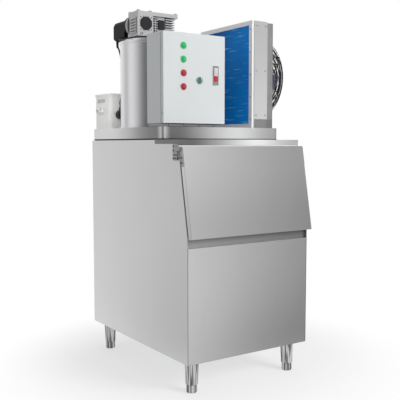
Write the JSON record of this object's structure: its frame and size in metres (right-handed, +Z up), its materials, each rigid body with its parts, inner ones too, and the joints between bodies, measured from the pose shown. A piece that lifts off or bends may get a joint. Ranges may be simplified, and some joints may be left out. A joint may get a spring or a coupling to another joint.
{
  "type": "flake ice machine",
  "caption": "Flake ice machine: ice drum, gearmotor, control box, water tank and condenser on an insulated stainless bin with a sloping lift-up door and adjustable legs.",
  "frame": {"origin": "centre of the machine's overall box, on the floor", "axes": "+Z up, the bin's door faces -Y, the condenser fan is on +X"},
  "size_m": [0.802, 0.9284, 1.671],
  "materials": {
    "bin_steel": "brushed stainless sheet, upright grain",
    "plain_steel": "mill-finish stainless and galvanised sheet",
    "polished_steel": "polished stainless legs and feet",
    "hinge_metal": "tumbled stainless hinge castings",
    "liner": "white insulated liner",
    "door_inner": "white moulded inner panel",
    "black_rubber": "black rubber and cable sheath",
    "drum_steel": "satin stainless drum",
    "evaporator_steel": "bright carbon steel, ground inside",
    "cast_aluminium": "shot-blasted cast aluminium",
    "motor_black": "black enamel",
    "black_plastic": "black moulded plastic",
    "box_paint": "light grey powder coat with a fine texture",
    "green_lens": "green lamp lens",
    "red_lens": "red lamp lens",
    "switch_ring": "satin chrome ring",
    "knob_plastic": "grey-green moulded plastic",
    "latch_metal": "chromed zinc",
    "latch_red": "red plastic",
    "gear_yellow": "switchgear on a zinc plated plate",
    "galvanised": "galvanised sheet",
    "fin_blue": "blue coated aluminium fins",
    "cover_sheet": "light coated sheet",
    "wire_black": "black coated wire",
    "fan_grey": "grey coated steel blades",
    "tank_steel": "satin stainless tank",
    "white_plastic": "white moulded plastic",
    "float_blue": "blue moulded float",
    "compressor_black": "black enamel shell",
    "copper": "drawn copper pipe"
  },
  "bodies": {
    "root": {"left_side_panel": "bin_steel", "right_side_panel": "bin_steel", "back_panel": "plain_steel", "front_panel": "bin_steel", "base_pan": "plain_steel", "top_deck": "plain_steel", "front_rail": "bin_steel", "bin_liner": "liner", "drain_spout": "white_plastic", "leg_sleeves": "polished_steel", "hinge_plates": "hinge_metal", "head_base": "bin_steel", "base_seal": "black_rubber", "drum_jacket": "drum_steel", "evaporator_cylinder": "evaporator_steel", "drum_lid": "drum_steel", "bottom_bridge": "cast_aluminium", "shaft_bearings": "evaporator_steel", "gearbox_housing": "cast_aluminium", "gearbox_cover": "cast_aluminium", "bore_cap": "black_plastic", "motor": "motor_black", "motor_cables": "black_rubber", "control_box": "box_paint", "box_feet": "black_rubber", "switchgear": "gear_yellow", "condenser_frame": "galvanised", "coil": "fin_blue", "cover_plate": "cover_sheet", "fan_shroud": "galvanised", "fan_guard": "wire_black", "fan_motor": "motor_black", "water_tank": "tank_steel", "tank_lid": "tank_steel", "inlet_fitting": "white_plastic", "water_pump": "black_plastic", "compressor": "compressor_black", "pipework": "copper"},
    "bin_door": {"door_skin": "bin_steel", "door_liner": "door_inner", "door_gasket": "black_rubber", "hinge_arms": "hinge_metal"},
    "ice_rotor": {"main_shaft": "evaporator_steel", "ice_blade": "evaporator_steel", "wiper_arm": "black_rubber", "water_pan": "drum_steel"},
    "fan": {"fan_impeller": "fan_grey"},
    "panel_door": {"box_door": "box_paint", "green_lamps": "green_lens", "red_lamps": "red_lens", "selector_switch": "switch_ring", "latch_body": "latch_metal"},
    "knob": {"selector_knob": "knob_plastic"},
    "handle": {"latch_handle": "latch_metal"},
    "button": {"latch_button": "latch_red"},
    "float": {"float_arm": "float_blue"},
    "front_left_foot": {"foot_front_left": "polished_steel"},
    "front_right_foot": {"foot_front_right": "polished_steel"},
    "back_left_foot": {"foot_back_left": "polished_steel"},
    "back_right_foot": {"foot_back_right": "polished_steel"}
  },
  "joints": [
    {"name": "bin_door_lift", "type": "hinge", "parent": "root", "child": "bin_door", "pos_m": [-0.064, -0.37972, 1.03305], "axis": [-1, 0, 0], "range_deg": [0, 85]},
    {"name": "rotor_spin", "type": "hinge", "parent": "root", "child": "ice_rotor", "pos_m": [-0.242, 0.12718, 1.1275], "axis": [0, 0, 1], "continuous": true},
    {"name": "fan_spin", "type": "hinge", "parent": "root", "child": "fan", "pos_m": [0.271, 0.03718, 1.3775], "axis": [1, 0, 0], "continuous": true},
    {"name": "panel_door_swing", "type": "hinge", "parent": "root", "child": "panel_door", "pos_m": [-0.37, -0.20982, 1.1425], "axis": [0, 0, -1], "range_deg": [0, 100]},
    {"name": "selector_turn", "type": "hinge", "parent": "panel_door", "child": "knob", "pos_m": [-0.192, -0.22382, 1.3305], "axis": [0, -1, 0], "range_deg": [-45, 45]},
    {"name": "latch_lift", "type": "hinge", "parent": "panel_door", "child": "handle", "pos_m": [-0.106, -0.22482, 1.3885], "axis": [-1, 0, 0], "range_deg": [0, 40]},
    {"name": "latch_press", "type": "slide", "parent": "panel_door", "child": "button", "axis": [0, 1, 0], "range_m": [0, 0.0025], "stiffness_N_per_m": 400},
    {"name": "float_swing", "type": "hinge", "parent": "root", "child": "float", "pos_m": [-0.352, 0.38062, 1.2155], "axis": [0, -1, 0], "range_deg": [0, 40]},
    {"name": "front_left_foot_screw", "type": "slide", "parent": "root", "child": "front_left_foot", "axis": [0, 0, -1], "range_m": [0, 0.025]},
    {"name": "front_right_foot_screw", "type": "slide", "parent": "root", "child": "front_right_foot", "axis": [0, 0, -1], "range_m": [0, 0.025]},
    {"name": "back_left_foot_screw", "type": "slide", "parent": "root", "child": "back_left_foot", "axis": [0, 0, -1], "range_m": [0, 0.025]},
    {"name": "back_right_foot_screw", "type": "slide", "parent": "root", "child": "back_right_foot", "axis": [0, 0, -1], "range_m": [0, 0.025]}
  ]
}
